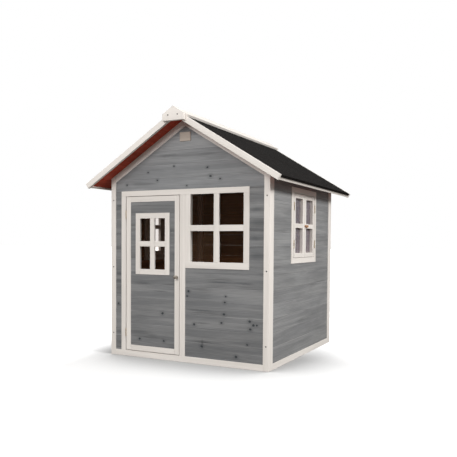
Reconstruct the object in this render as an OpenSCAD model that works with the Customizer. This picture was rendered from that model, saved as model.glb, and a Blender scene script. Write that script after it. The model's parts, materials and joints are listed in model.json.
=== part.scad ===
// Child's wooden playhouse: framed walls with horizontal boards, a hinged door,
// a fixed front window, two side windows with a pair of sashes each, and a gable
// roof with felt, bargeboards and ridge caps.
// Millimetres. The origin is on the ground at the centre of the house, the front
// wall faces -Y, and +Z is up. Right is +X and left is -X.

/* [House] */
// Width of the house over its corner posts
house_w = 1100; // [920:10:1400]
// Depth of the house over its front and back walls
house_d = 1130; // [900:10:1400]
// Height of the side walls above the casing over the door
wall_over_head = 82; // [72:2:240]
// Pitch of the roof in degrees
roof_pitch = 31.6; // [26:0.2:38]
// Thickness of the wall frames
wall_t = 24; // [20:1:32]
// Width of the corner posts on the front and back walls
post_w = 36; // [30:1:50]
// Width of the stiles at the ends of the side walls
side_stile_w = 36; // [30:1:50]
// Height of the rails that stand on the ground
bottom_rail_h = 36; // [30:1:50]
// Height of the rail along the top of each side wall
top_rail_h = 36; // [24:1:36]
// Width of the sloping rails under the gable
gable_rail_w = 40; // [30:1:50]

/* [Boards] */
// Thickness of the wall boards
board_t = 12; // [9:1:14]
// How far the wall boards sit behind the face of the frame
board_recess = 3; // [1:0.5:5]
// Visible height of one wall board
board_cover = 82; // [60:1:110]
// Height of the lowest joint between boards above the ground
first_joint = 45; // [40:1:60]
// Half width and depth of the V groove at each joint
groove = 2; // [1:0.5:3]

/* [Front wall] */
// Width of the boards between the left post and the casing
left_boards_w = 44; // [30:1:80]
// Width of the jamb on the hinge side of the door
jamb_w = 35; // [30:1:45]
// Width of the upright between the door and the window
mullion_w = 38; // [30:1:50]
// Height of the casing across the top of the door and the window
head_h = 33; // [28:1:36]
// Width of the window's upright frame pieces
window_lath_w = 36; // [28:1:45]
// Height of the window's bottom rail
window_rail_h = 38; // [28:1:45]
// Width of the boards between the window's frame and the right post
right_boards_w = 90; // [30:5:160]
// Height of the window opening
window_h = 401; // [320:1:460]
// Width of the window's glazing bars
window_bar_w = 36; // [24:1:45]
// Depth of the glazing bars in the front window and the door
bar_t = 12; // [8:1:14]
// Thickness of the clear panes
pane_t = 2; // [2:0.5:4]
// How far a pane laps onto its frame
pane_lap = 8; // [5:1:10]

/* [Door] */
// Width of the door
door_w = 392; // [320:2:480]
// Height of the door
door_h = 964; // [800:2:1200]
// How much thinner the door is than the wall frames
door_set_in = 1; // [0.5:0.5:5]
// Gap between the door and the jamb on the hinge side
hinge_gap = 4; // [4:0.5:6]
// Gap between the door and the mullion
latch_gap = 3; // [2:0.5:5]
// Gap under the door
door_foot_gap = 4; // [3:0.5:8]
// Width of the door's frame pieces
door_lath_w = 33; // [28:1:42]
// Distance from the door panel's sides to the window in the door
door_window_side = 38; // [25:1:60]
// Distance from the door panel's top to the window in the door
door_window_drop = 70; // [40:1:110]
// Height of the door window over its frame
door_window_h = 380; // [280:1:460]
// Width of the door window's frame pieces
door_window_lath_w = 33; // [24:1:40]
// Width of the door window's glazing bars
door_bar_w = 33; // [20:1:40]
// Height of the knob above the ground
knob_z = 512; // [400:1:700]
// Radius of the knob
knob_r = 11; // [9:0.5:14]
// Length of the knob from the face of the door
knob_len = 30; // [24:1:40]

/* [Side windows] */
// Width of a side window over its casing
casing_w = 456; // [380:4:600]
// Height of a side window over its casing
casing_h = 468; // [380:4:600]
// Distance from the side wall's top rail down to the casing
casing_drop = 22; // [6:2:80]
// Width of the casing's pieces
casing_lath_w = 34; // [28:1:40]
// Thickness of a sash
sash_t = 20; // [16:1:20]
// Width of a sash's upright pieces
sash_stile_w = 30; // [24:1:36]
// Height of a sash's top and bottom rails
sash_rail_h = 28; // [22:1:36]
// Height of a sash's glazing bar
sash_bar_h = 28; // [18:1:34]
// Gap above and below a sash
sash_gap = 2; // [1.5:0.5:4]
// Gap between the two sashes of a window
meeting_gap = 3; // [2:0.5:5]
// Length of the turn button from its pivot to its tip
button_reach = 42; // [36:1:48]
// Width of the turn button
button_w = 15; // [12:1:18]
// Thickness of the turn button
button_t = 8; // [5:0.5:10]

/* [Roof] */
// Thickness of the roof boards
roof_board_t = 20; // [14:1:24]
// Thickness of the roofing felt
felt_t = 3; // [2:0.5:4]
// Distance from the side walls to the lower edge of the roof boards
eave_overhang = 80; // [60:1:140]
// Distance from the end walls to the face of the bargeboards
gable_overhang = 118; // [90:1:160]
// Width of the bargeboards
barge_w = 33; // [28:1:50]
// Thickness of the bargeboards
barge_t = 18; // [14:1:24]
// How far the bargeboards stand above the felt
barge_lift = 1; // [1:0.5:8]
// Thickness of the eave boards
eave_board_t = 12; // [9:1:16]
// How far the eave boards hang below the roof boards
eave_board_drop = 8; // [6:1:20]
// How far the felt turns down over the eave boards
felt_lip = 15; // [8:1:20]
// Width of a ridge cap along the slope
ridge_cap_w = 76; // [60:1:100]
// Thickness of a ridge cap
ridge_cap_t = 14; // [10:1:20]
// Thickness of the plates that cover the ends of the ridge caps and bargeboards
ridge_plate_t = 22; // [10:1:30]
// Half the width of a ridge plate
ridge_plate_half_w = 72; // [50:1:80]
// Height from a ridge plate's flat lower edge to the felt above the ridge
ridge_plate_h = 67; // [60:1:90]
// Width of the battens under the roof boards
batten_w = 36; // [24:1:45]
// Thickness of the battens under the roof boards
batten_t = 18; // [14:1:24]
// Distance from the middle of the house to the middle of a batten
batten_y = 316; // [200:2:400]

/* [Hardware] */
// Length of a hinge
hinge_len = 50; // [40:1:60]
// Distance from a door end to the middle of its hinge
door_hinge_inset = 110; // [80:5:160]
// Distance from a sash end to the middle of its hinge
sash_hinge_inset = 82; // [60:1:110]
// Radius of the hinge knuckles
knuckle_r = 3; // [2.6:0.1:3.4]
// Radius of the hinge pins
pin_r = 1.2; // [1:0.1:1.5]
// Radius of the screw heads
screw_head_r = 4; // [3:0.5:5]
// Radius of the screw shanks
screw_r = 2; // [1.5:0.25:2.5]
// Length of the corner screws under their heads
screw_len = 50; // [40:1:60]
// Height of the lowest corner screws above the ground
screw_foot = 140; // [80:5:200]
// Distance from the top of the side walls to the highest corner screws
screw_drop = 137; // [80:1:200]

/* [Hidden] */
$fn = 48;

// Clearances
seam = 0.2;        // hairline between pieces that share a node
lay_gap = 0.1;     // hairline between the layers of the roof and what carries them
run_gap = 0.05;    // radial clearance of a pin in its hole
swing_gap = 0.6;   // clearance between parts that move past each other
past = 1;          // how far a cut runs past the face it opens

// Walls
half_w = house_w / 2;
half_d = house_d / 2;
front_y = -half_d;
post_x = half_w - post_w;
board_y = front_y + board_recess;
side_y = half_d - wall_t;
side_board_y = side_y - side_stile_w;
door_z0 = bottom_rail_h + door_foot_gap;
door_z1 = door_z0 + door_h;
head_z0 = door_z1 + latch_gap;
head_z1 = head_z0 + head_h;
wall_h = head_z1 + wall_over_head;
top_rail_z = wall_h - top_rail_h;
ridge_z = wall_h + half_w * tan(roof_pitch);
gable_rail_rise = gable_rail_w / cos(roof_pitch);
function roof_z(x) = ridge_z - abs(x) * tan(roof_pitch);
function gable_z(x) = roof_z(x) - gable_rail_rise;

// Front wall, from left to right
casing_x0 = -post_x + left_boards_w;
door_x0 = casing_x0 + jamb_w + hinge_gap;
door_x1 = door_x0 + door_w;
mullion_x0 = door_x1 + latch_gap;
mullion_x1 = mullion_x0 + mullion_w;
window_x0 = mullion_x1 + window_lath_w;
casing_x1 = post_x - right_boards_w;
window_x1 = casing_x1 - window_lath_w;
window_z0 = head_z0 - window_h;
window_foot_z = window_z0 - window_rail_h;

// Door
door_t = wall_t - door_set_in;
panel_x0 = door_x0 + door_lath_w;
panel_x1 = door_x1 - door_lath_w;
panel_z0 = door_z0 + door_lath_w;
panel_z1 = door_z1 - door_lath_w;
dw_x0 = panel_x0 + door_window_side;
dw_x1 = panel_x1 - door_window_side;
dw_z1 = panel_z1 - door_window_drop;
dw_z0 = dw_z1 - door_window_h;
door_window_t = board_recess + board_t;
stop_w = 20;       // width of the laths that doors and sashes close against
stop_t = 12;       // thickness of those laths
stop_lap = 8;      // how far they stand into the opening
knob_foot_t = 2.5; // the knob's plate, neck and ball
knob_foot_r = 0.8 * knob_r;
knob_neck_r = 0.5 * knob_r;
knob_ball_y = knob_len - knob_r;

// Side windows
casing_y = casing_w / 2;
casing_top = top_rail_z - casing_drop;
casing_z = casing_top - casing_h;
open_y = casing_y - casing_lath_w;
open_z0 = casing_z + casing_lath_w;
open_z1 = casing_top - casing_lath_w;
sash_y0 = meeting_gap / 2;
sash_y1 = open_y - hinge_gap;
sash_z0 = open_z0 + sash_gap;
sash_z1 = open_z1 - sash_gap;
sash_mid_z = (sash_z0 + sash_z1) / 2;
button_edge = 3;   // from the turn button's round end to the edge of its sash
screw_bite = 13;   // how far the turn button's screw goes into the sash
button_pivot_y = sash_y0 + button_w / 2 + button_edge;
button_x = half_w + swing_gap;
button_screw_len = button_t + 2 * swing_gap + screw_bite;

// Roof, in the slope's own frame: u runs down the slope from the ridge's
// underside and n stands square to it
function on_slope(u, n) = [
    u * cos(roof_pitch) + n * sin(roof_pitch),
    ridge_z - u * sin(roof_pitch) + n * cos(roof_pitch)
];
function over_ridge(n) = [0, ridge_z + n / cos(roof_pitch)];
function on_line(x, n) = [x, over_ridge(n)[1] - x * tan(roof_pitch)];
slope_len = (half_w + eave_overhang) / cos(roof_pitch);
board_n = lay_gap + roof_board_t;
felt_n = board_n + lay_gap + felt_t;
cap_n = felt_n + lay_gap;
cap_top_n = cap_n + ridge_cap_t;
eave_board_u = slope_len + lay_gap;
eave_u = eave_board_u + eave_board_t + lay_gap;
barge_y = half_d + gable_overhang;
roof_y = barge_y - barge_t;
barge_n1 = felt_n + barge_lift;
barge_n0 = barge_n1 - barge_w;
barge_tail = 3;    // how far the bargeboards run past the felt's lower edge
barge_end_u = eave_u + felt_t + barge_tail;
barge_notch_x = on_slope(ridge_cap_w, barge_n1)[0] + seam;
ridge_plate_z0 = over_ridge(felt_n)[1] - ridge_plate_h;
plate_screw_x = 32;
plate_screw_lift = 32;
plate_screw_cover = 4; // wood left over the point of a ridge plate's screw
plate_screw_z = ridge_plate_z0 + plate_screw_lift;
plate_screw_len = ridge_plate_t + barge_t - plate_screw_cover;
roof_joint_w = 95; // width of one roof board
batten_gap = 6;    // from the end of a batten to the side wall
plaque_w = 74;
plaque_h = 54;
plaque_t = 6;
plaque_drop = 36;  // from the corner of the gable rails down to the plaque

// Hinges
leaf_t = 1;
leaf_depth = 14;
barrel_gap = 0.2;  // between the knuckles and the face of the wood
barrel_off = knuckle_r + barrel_gap;
pin_head_r = pin_r + 1.4;
pin_head_h = 1.5;
knuckle_len = hinge_len / 3;
hinge_z_door = [door_z0 + door_hinge_inset, door_z1 - door_hinge_inset];
hinge_z_sash = [sash_z0 + sash_hinge_inset, sash_z1 - sash_hinge_inset];
door_axis = [door_x0 - hinge_gap / 2, front_y - barrel_off];
sash_axis = [half_w + barrel_off, sash_y1 + hinge_gap / 2];
screw_top = wall_h - screw_drop;
screw_zs = [screw_foot, (screw_foot + screw_top) / 2, screw_top];
corner_screw_x = half_w - post_w / 2;
screw_head_h = 2;
head_sink = 3;     // how deep the corner screws' heads sit in the posts

white = [0.86, 0.83, 0.80];
grey = [0.49, 0.49, 0.49];
redwood = [0.36, 0.16, 0.11];
felt_black = [0.16, 0.15, 0.15];
clear = [0.75, 0.72, 0.78, 0.4];
steel = [0.66, 0.64, 0.60];
tan_wood = [0.76, 0.58, 0.46];

// ---------------------------------------------------------------- helpers

// A rectangular piece between two corners
module piece(a, b) {
    translate(a) cube(b - a);
}

// A drawing of [x, z] points run along Y from y0 to y1
module run_y(y0, y1) {
    translate([0, y1, 0]) rotate([90, 0, 0]) linear_extrude(y1 - y0) children();
}

// A drawing of [y, z] points run along X from x0 to x1
module run_x(x0, x1) {
    translate([x0, 0, 0]) rotate([90, 0, 90]) linear_extrude(x1 - x0) children();
}

module both_x() {
    children();
    mirror([1, 0, 0]) children();
}

module both_y() {
    children();
    mirror([0, 1, 0]) children();
}

// Section of a run of boards from z0 to z1, with its grooved face at depth 0
function board_joints(z0, z1) = [
    for (i = [0 : ceil((z1 - first_joint) / board_cover)])
        let (z = first_joint + i * board_cover)
        if (z > z0 + 2 * groove && z < z1 - 2 * groove) z
];
function board_section(z0, z1) = concat(
    [[0, z0]],
    [for (z = board_joints(z0, z1)) each [[0, z - groove], [groove, z], [0, z + groove]]],
    [[0, z1], [board_t, z1], [board_t, z0]]
);

// A run of boards on the front wall between x0 and x1
module front_boards(x0, x1, z0, z1) {
    run_x(x0, x1) translate([board_y, 0]) polygon(board_section(z0, z1));
}

// A run of boards on the right wall between y0 and y1
module right_boards(y0, y1, z0, z1) {
    run_y(y0, y1) translate([half_w - board_recess, 0]) mirror([1, 0])
        polygon(board_section(z0, z1));
}

// Four frame pieces round an opening, drawn upright in [x, z] about corners a and b.
// The stiles run through and the rails fit between them.
module frame_pieces(a, b, stile, rail, t) {
    for (x = [a[0], b[0] - stile])
        piece([x, 0, a[1]], [x + stile, t, b[1]]);
    for (z = [a[1], b[1] - rail])
        piece([a[0] + stile + seam, 0, z], [b[0] - stile - seam, t, z + rail]);
}

// ------------------------------------------------------------- wall frames

// Holes for the screws that join the right front post to the side wall behind it
module corner_screw_holes() {
    for (z = screw_zs)
        translate([corner_screw_x, front_y, z]) rotate([-90, 0, 0]) {
            translate([0, 0, -past]) cylinder(r = screw_head_r + seam, h = head_sink + past);
            cylinder(r = screw_r + run_gap, h = head_sink + screw_len + past);
        }
}

module end_post() {
    difference() {
        run_y(front_y, front_y + wall_t)
            polygon([[post_x, 0], [half_w, 0], [half_w, roof_z(half_w)], [post_x, roof_z(post_x)]]);
        corner_screw_holes();
    }
}

module corner_posts() {
    color(white) both_x() both_y() end_post();
}

module side_wall_stiles() {
    color(white) both_x() both_y() difference() {
        run_y(-side_y, -side_board_y)
            polygon([
                [half_w - wall_t, 0], [half_w, 0],
                [half_w, roof_z(half_w)], [half_w - wall_t, roof_z(half_w - wall_t)]
            ]);
        corner_screw_holes();
    }
}

module end_rail() {
    piece([-post_x, front_y, 0], [post_x, front_y + wall_t, bottom_rail_h]);
}

module front_bottom_rail() {
    color(white) end_rail();
}

module back_bottom_rail() {
    color(white) mirror([0, 1, 0]) end_rail();
}

module side_bottom_rails() {
    color(white) both_x()
        piece([half_w - wall_t, -side_board_y, 0], [half_w, side_board_y, bottom_rail_h]);
}

module side_top_rails() {
    color(white) both_x() run_y(-side_board_y, side_board_y)
        polygon([
            [half_w - wall_t, top_rail_z], [half_w, top_rail_z],
            [half_w, roof_z(half_w)], [half_w - wall_t, roof_z(half_w - wall_t)]
        ]);
}

module gable_rails() {
    color(white) both_x() both_y() run_y(front_y, front_y + wall_t)
        polygon([
            [seam / 2, gable_z(seam / 2)], [post_x, gable_z(post_x)],
            [post_x, roof_z(post_x)], [seam / 2, roof_z(seam / 2)]
        ]);
}

// ------------------------------------------------------------ wall boards

module front_wall_boards() {
    color(grey) {
        front_boards(-post_x, casing_x0, bottom_rail_h, head_z1);
        front_boards(casing_x1, post_x, window_foot_z + seam, head_z1);
        front_boards(mullion_x1, post_x, bottom_rail_h, window_foot_z);
    }
}

// Boards from height z0 up to the sloping rails
module gable_boards(z0) {
    intersection() {
        front_boards(-post_x, post_x, z0, gable_z(0));
        run_y(board_y - past, board_y + board_t + past)
            polygon([
                [-post_x, z0 - past], [post_x, z0 - past],
                [post_x, gable_z(post_x)], [0, gable_z(0)], [-post_x, gable_z(post_x)]
            ]);
    }
}

module front_gable_boards() {
    color(grey) gable_boards(head_z1);
}

module back_wall_boards() {
    color(grey) mirror([0, 1, 0]) gable_boards(bottom_rail_h);
}

module side_wall_boards() {
    right_boards(-side_board_y, side_board_y, bottom_rail_h, casing_z);
    both_y() right_boards(-side_board_y, -casing_y, casing_z + seam, casing_top - seam);
    right_boards(-side_board_y, side_board_y, casing_top, top_rail_z);
}

module right_wall_boards() {
    color(grey) side_wall_boards();
}

module left_wall_boards() {
    color(grey) mirror([1, 0, 0]) side_wall_boards();
}

// ------------------------------------------- front casing, window and stops

module front_casing_head() {
    color(white)
        piece([casing_x0, front_y, head_z0], [casing_x1, front_y + wall_t, head_z1]);
}

module door_hinge_jamb() {
    color(white)
        piece([casing_x0, front_y, bottom_rail_h], [casing_x0 + jamb_w, front_y + wall_t, head_z0]);
}

module front_mullion() {
    color(white)
        piece([mullion_x0, front_y, bottom_rail_h], [mullion_x1, front_y + wall_t, head_z0]);
}

module front_window_frame() {
    color(white) {
        piece([mullion_x1, front_y, window_z0], [window_x0, front_y + wall_t, head_z0]);
        piece([window_x1, front_y, window_z0], [casing_x1, front_y + wall_t, head_z0]);
        piece([mullion_x1, front_y, window_foot_z], [casing_x1, front_y + wall_t, window_z0 - seam]);
    }
}

// Glazing bars across an opening: one upright and two short cross bars
module crossed_bars(a, b, w, t) {
    cx = (a[0] + b[0]) / 2;
    cz = (a[1] + b[1]) / 2;
    piece([cx - w / 2, 0, a[1]], [cx + w / 2, t, b[1]]);
    piece([a[0], 0, cz - w / 2], [cx - w / 2 - seam, t, cz + w / 2]);
    piece([cx + w / 2 + seam, 0, cz - w / 2], [b[0], t, cz + w / 2]);
}

module front_window_bars() {
    color(white) translate([0, front_y, 0])
        crossed_bars([window_x0, window_z0], [window_x1, head_z0], window_bar_w, bar_t);
}

module front_window_pane() {
    color(clear)
        piece(
            [window_x0 - pane_lap, front_y + wall_t, window_z0 - pane_lap],
            [window_x1 + pane_lap, front_y + wall_t + pane_t, head_z0 + pane_lap]
        );
}

// Laths inside the doorway that the closed door rests against
module door_stops() {
    stop_y = front_y + wall_t;
    color(white) {
        piece([mullion_x0 - stop_lap, stop_y, door_z0],
              [mullion_x0 + stop_w - stop_lap, stop_y + stop_t, head_z0 - stop_lap - seam]);
        piece([casing_x0 + jamb_w - stop_w + stop_lap, stop_y, door_z0],
              [casing_x0 + jamb_w + stop_lap, stop_y + stop_t, head_z0 - stop_lap - seam]);
        piece([casing_x0 + jamb_w - stop_w + stop_lap, stop_y, head_z0 - stop_lap],
              [mullion_x0 + stop_w - stop_lap, stop_y + stop_t, head_z0 + stop_w - stop_lap]);
    }
}

// ------------------------------------------------------------------- roof

// Section of the right half of the roof boards, with grooves on the underside
module roof_board_section() {
    joints = [for (u = [roof_joint_w : roof_joint_w : slope_len - roof_joint_w / 2]) u];
    polygon(concat(
        [over_ridge(lay_gap)],
        [for (u = joints) each [
            on_slope(u - groove, lay_gap), on_slope(u, lay_gap + groove),
            on_slope(u + groove, lay_gap)
        ]],
        [on_slope(slope_len, lay_gap), on_slope(slope_len, board_n), over_ridge(board_n)]
    ));
}

module right_roof_boards() {
    color(redwood) run_y(-roof_y, roof_y) roof_board_section();
}

module left_roof_boards() {
    color(redwood) mirror([1, 0, 0]) run_y(-roof_y, roof_y) roof_board_section();
}

// The felt lies on the boards and turns down over the eave board
module felt_sheet() {
    run_y(-roof_y, roof_y) polygon([
        over_ridge(board_n + lay_gap), on_slope(eave_u, board_n + lay_gap),
        on_slope(eave_u, felt_n - felt_lip), on_slope(eave_u + felt_t, felt_n - felt_lip),
        on_slope(eave_u + felt_t, felt_n), over_ridge(felt_n)
    ]);
}

module right_roof_felt() {
    color(felt_black) felt_sheet();
}

module left_roof_felt() {
    color(felt_black) mirror([1, 0, 0]) felt_sheet();
}

module eave_boards() {
    color(white) both_x() run_y(-roof_y, roof_y) polygon([
        on_slope(eave_board_u, -eave_board_drop),
        on_slope(eave_board_u + eave_board_t, -eave_board_drop),
        on_slope(eave_board_u + eave_board_t, board_n), on_slope(eave_board_u, board_n)
    ]);
}

// Holes for the screws that hold the front ridge plate to the bargeboards
module plate_screw_holes() {
    for (s = [-1, 1])
        translate([s * plate_screw_x, -barge_y - ridge_plate_t - past, plate_screw_z])
            rotate([-90, 0, 0])
                cylinder(r = screw_r + run_gap, h = plate_screw_len + 2 * past);
}

// A pair of bargeboards, notched at the top to pass under the ridge caps
module bargeboards() {
    difference() {
        both_x() run_y(-barge_y, -roof_y) polygon([
            on_line(seam / 2, barge_n0), on_slope(barge_end_u, barge_n0),
            on_slope(barge_end_u, barge_n1), on_line(barge_notch_x, barge_n1),
            on_line(barge_notch_x, felt_n), on_line(seam / 2, felt_n)
        ]);
        plate_screw_holes();
    }
}

module front_bargeboards() {
    color(white) bargeboards();
}

module back_bargeboards() {
    color(white) mirror([0, 1, 0]) bargeboards();
}

// A ridge cap lies on the felt and ends at the faces of the bargeboards
module ridge_cap() {
    run_y(-barge_y, barge_y) polygon([
        over_ridge(cap_n), on_slope(ridge_cap_w, cap_n),
        on_slope(ridge_cap_w, cap_top_n), over_ridge(cap_top_n)
    ]);
}

module right_ridge_cap() {
    color(white) ridge_cap();
}

module left_ridge_cap() {
    color(white) mirror([1, 0, 0]) ridge_cap();
}

module ridge_plates() {
    side_z = over_ridge(cap_top_n)[1] - ridge_plate_half_w * tan(roof_pitch);
    color(white) both_y() difference() {
        run_y(-barge_y - ridge_plate_t, -barge_y) polygon([
            [-ridge_plate_half_w, ridge_plate_z0], [ridge_plate_half_w, ridge_plate_z0],
            [ridge_plate_half_w, side_z], over_ridge(cap_top_n),
            [-ridge_plate_half_w, side_z]
        ]);
        plate_screw_holes();
    }
}

module roof_battens() {
    batten_x = half_w - wall_t - batten_gap;
    batten_end = (batten_x + batten_t * sin(roof_pitch)) / cos(roof_pitch);
    color(tan_wood) both_x() both_y()
        run_y(batten_y - batten_w / 2, batten_y + batten_w / 2) polygon([
            on_slope(batten_w, -batten_t), on_slope(batten_end, -batten_t),
            on_slope(batten_end - batten_t * tan(roof_pitch), 0), on_slope(batten_w, 0)
        ]);
}

// A plain plaque on the gable boards under the ridge
module gable_plaque() {
    plaque_top = gable_z(0) - plaque_drop;
    color(tan_wood) piece(
        [-plaque_w / 2, board_y - plaque_t, plaque_top - plaque_h],
        [plaque_w / 2, board_y, plaque_top]
    );
}

// ----------------------------------------------------------------- screws

// A screw along +Z with the underside of its head at the origin
module screw(length) {
    translate([0, 0, -screw_head_h]) cylinder(r = screw_head_r, h = screw_head_h);
    cylinder(r = screw_r, h = length);
}

// The corner screws sit sunk in the posts, the others stand on the ridge plates
module frame_screws() {
    color(steel) both_x() both_y() {
        for (z = screw_zs)
            translate([corner_screw_x, front_y + head_sink, z]) rotate([-90, 0, 0])
                screw(screw_len);
        translate([plate_screw_x, -barge_y - ridge_plate_t, plate_screw_z])
            rotate([-90, 0, 0]) screw(plate_screw_len);
    }
}

// ----------------------------------------------------------- side windows

// Draws children that stand in the front wall's plane in the right wall instead:
// [x, depth, z] there becomes depth behind the outer face and x along +Y
module in_right_wall() {
    translate([half_w, 0, 0]) rotate([0, 0, 90]) children();
}

module window_casing() {
    in_right_wall()
        frame_pieces([-casing_y, casing_z], [casing_y, casing_top],
                     casing_lath_w, casing_lath_w, wall_t);
}

module right_window_casing() {
    color(white) window_casing();
}

module left_window_casing() {
    color(white) mirror([1, 0, 0]) window_casing();
}

// Laths inside each window that the closed sashes rest against
module window_stops() {
    stop_x = half_w - wall_t;
    color(white) both_x() for (z = [open_z0 - stop_w + stop_lap, open_z1 - stop_lap])
        piece([stop_x - stop_t, -open_y, z], [stop_x, open_y, z + stop_w]);
}

// The sash on the +Y side of the right window
module sash_frame() {
    in_right_wall() {
        frame_pieces([sash_y0, sash_z0], [sash_y1, sash_z1], sash_stile_w, sash_rail_h, sash_t);
        piece(
            [sash_y0 + sash_stile_w + seam, 0, sash_mid_z - sash_bar_h / 2],
            [sash_y1 - sash_stile_w - seam, bar_t, sash_mid_z + sash_bar_h / 2]
        );
    }
}

// A back sash also has the hole for the screw that its turn button turns on
module back_sash() {
    difference() {
        sash_frame();
        translate([half_w + past, button_pivot_y, sash_mid_z]) rotate([0, -90, 0])
            cylinder(r = screw_r + run_gap, h = screw_bite + 2 * past);
    }
}

module button_screw() {
    translate([button_x + button_t + swing_gap, button_pivot_y, sash_mid_z])
        rotate([0, -90, 0]) screw(button_screw_len);
}

module sash_pane() {
    in_right_wall() piece(
        [sash_y0 + sash_stile_w - pane_lap, sash_t, sash_z0 + sash_rail_h - pane_lap],
        [sash_y1 - sash_stile_w + pane_lap, sash_t + pane_t, sash_z1 - sash_rail_h + pane_lap]
    );
}

module right_back_sash() {
    color(white) back_sash();
}

module right_back_pane() {
    color(clear) sash_pane();
}

module right_front_sash() {
    color(white) mirror([0, 1, 0]) sash_frame();
}

module right_front_pane() {
    color(clear) mirror([0, 1, 0]) sash_pane();
}

module left_back_sash() {
    color(white) mirror([1, 0, 0]) back_sash();
}

module left_back_pane() {
    color(clear) mirror([1, 0, 0]) sash_pane();
}

module left_front_sash() {
    color(white) mirror([1, 0, 0]) mirror([0, 1, 0]) sash_frame();
}

module left_front_pane() {
    color(clear) mirror([1, 0, 0]) mirror([0, 1, 0]) sash_pane();
}

// The button lies along its own sash at rest and turns half round to lap the other
module turn_button() {
    translate([button_x, button_pivot_y, sash_mid_z]) rotate([0, 90, 0]) difference() {
        union() {
            cylinder(r = button_w / 2, h = button_t);
            translate([-button_w / 2, 0, 0])
                cube([button_w, button_reach - button_w / 2, button_t]);
            translate([0, button_reach - button_w / 2, 0])
                cylinder(r = button_w / 2, h = button_t);
        }
        translate([0, 0, -past]) cylinder(r = screw_r + run_gap, h = button_t + 2 * past);
    }
}

module right_turn_button() {
    color(tan_wood) turn_button();
}

module left_turn_button() {
    color(tan_wood) mirror([1, 0, 0]) turn_button();
}

// ------------------------------------------------------------------- door

module door_frame() {
    color(white) translate([0, front_y, 0])
        frame_pieces([door_x0, door_z0], [door_x1, door_z1], door_lath_w, door_lath_w, door_t);
}

module door_boards() {
    color(grey) {
        front_boards(panel_x0, panel_x1, panel_z0, dw_z0);
        front_boards(panel_x0, dw_x0, dw_z0 + seam, dw_z1 - seam);
        front_boards(dw_x1, panel_x1, dw_z0 + seam, dw_z1 - seam);
        front_boards(panel_x0, panel_x1, dw_z1, panel_z1);
    }
}

module door_window_frame() {
    color(white) translate([0, front_y, 0])
        frame_pieces([dw_x0, dw_z0], [dw_x1, dw_z1],
                     door_window_lath_w, door_window_lath_w, door_window_t);
}

module door_window_bars() {
    w = door_window_lath_w;
    color(white) translate([0, front_y, 0])
        crossed_bars([dw_x0 + w, dw_z0 + w], [dw_x1 - w, dw_z1 - w], door_bar_w, bar_t);
}

module door_window_pane() {
    w = door_window_lath_w - pane_lap;
    color(clear) translate([0, front_y + door_window_t, 0])
        piece([dw_x0 + w, 0, dw_z0 + w], [dw_x1 - w, pane_t, dw_z1 - w]);
}

module door_knob() {
    color(steel) translate([door_x1 - door_lath_w / 2, front_y, knob_z]) rotate([90, 0, 0])
        rotate_extrude($fn = 64) union() {
            square([knob_foot_r, knob_foot_t]);
            square([knob_neck_r, knob_ball_y]);
            intersection() {
                translate([0, knob_ball_y]) circle(r = knob_r);
                translate([0, knob_ball_y - knob_r]) square([knob_r, 2 * knob_r]);
            }
        }
}

// ----------------------------------------------------------------- hinges
// A hinge stands with its pin on the Z axis. The wood's outer face is at
// y = barrel_off, the fixed leaf lies on the -X side and the moving one on +X.

module knuckle(z0, z1) {
    translate([0, 0, z0]) cylinder(r = knuckle_r, h = z1 - z0);
}

module pin_bore() {
    translate([0, 0, -hinge_len]) cylinder(r = pin_r + run_gap, h = 2 * hinge_len);
}

// One leaf: the strip in the gap, and the knuckles it carries between each [z0, z1]
module hinge_leaf(side, spans) {
    outer_x = side * hinge_gap / 2;
    inner_x = outer_x - side * leaf_t;
    x0 = min(outer_x, inner_x);
    x1 = max(outer_x, inner_x);
    clear_y = barrel_off + swing_gap;
    difference() {
        union() {
            piece([x0, clear_y, -hinge_len / 2], [x1, barrel_off + leaf_depth, hinge_len / 2]);
            for (s = spans) {
                piece([x0, 0, s[0]], [x1, clear_y, s[1]]);
                knuckle(s[0], s[1]);
            }
        }
        pin_bore();
    }
}

module fixed_leaf() {
    hinge_leaf(-1, [
        [-hinge_len / 2, -knuckle_len / 2 - run_gap],
        [knuckle_len / 2 + run_gap, hinge_len / 2]
    ]);
}

module moving_leaf() {
    hinge_leaf(1, [[-knuckle_len / 2 + swing_gap / 2, knuckle_len / 2 - swing_gap / 2]]);
}

module hinge_pin() {
    translate([0, 0, -hinge_len / 2]) cylinder(r = pin_r, h = hinge_len);
    translate([0, 0, hinge_len / 2]) cylinder(r = pin_head_r, h = pin_head_h);
}

module at_door_hinges() {
    for (z = hinge_z_door)
        translate([door_axis[0], door_axis[1], z]) children();
}

// The hinges of the right window's back sash
module at_sash_hinges() {
    for (z = hinge_z_sash)
        translate([sash_axis[0], sash_axis[1], z]) rotate([0, 0, 90]) mirror([1, 0, 0]) children();
}

module door_hinge_plates() {
    color(steel) at_door_hinges() fixed_leaf();
}

module window_hinge_plates() {
    color(steel) both_x() both_y() at_sash_hinges() fixed_leaf();
}

module hinge_pins() {
    color(steel) {
        at_door_hinges() hinge_pin();
        both_x() both_y() at_sash_hinges() hinge_pin();
    }
}

module door_hinge_leaves() {
    color(steel) at_door_hinges() moving_leaf();
}

// The hinge leaves of a back sash, and the screw of its turn button
module back_sash_hardware() {
    at_sash_hinges() moving_leaf();
    button_screw();
}

module right_front_hardware() {
    color(steel) mirror([0, 1, 0]) at_sash_hinges() moving_leaf();
}

module right_back_hardware() {
    color(steel) back_sash_hardware();
}

module left_front_hardware() {
    color(steel) mirror([1, 0, 0]) mirror([0, 1, 0]) at_sash_hinges() moving_leaf();
}

module left_back_hardware() {
    color(steel) mirror([1, 0, 0]) back_sash_hardware();
}

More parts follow.
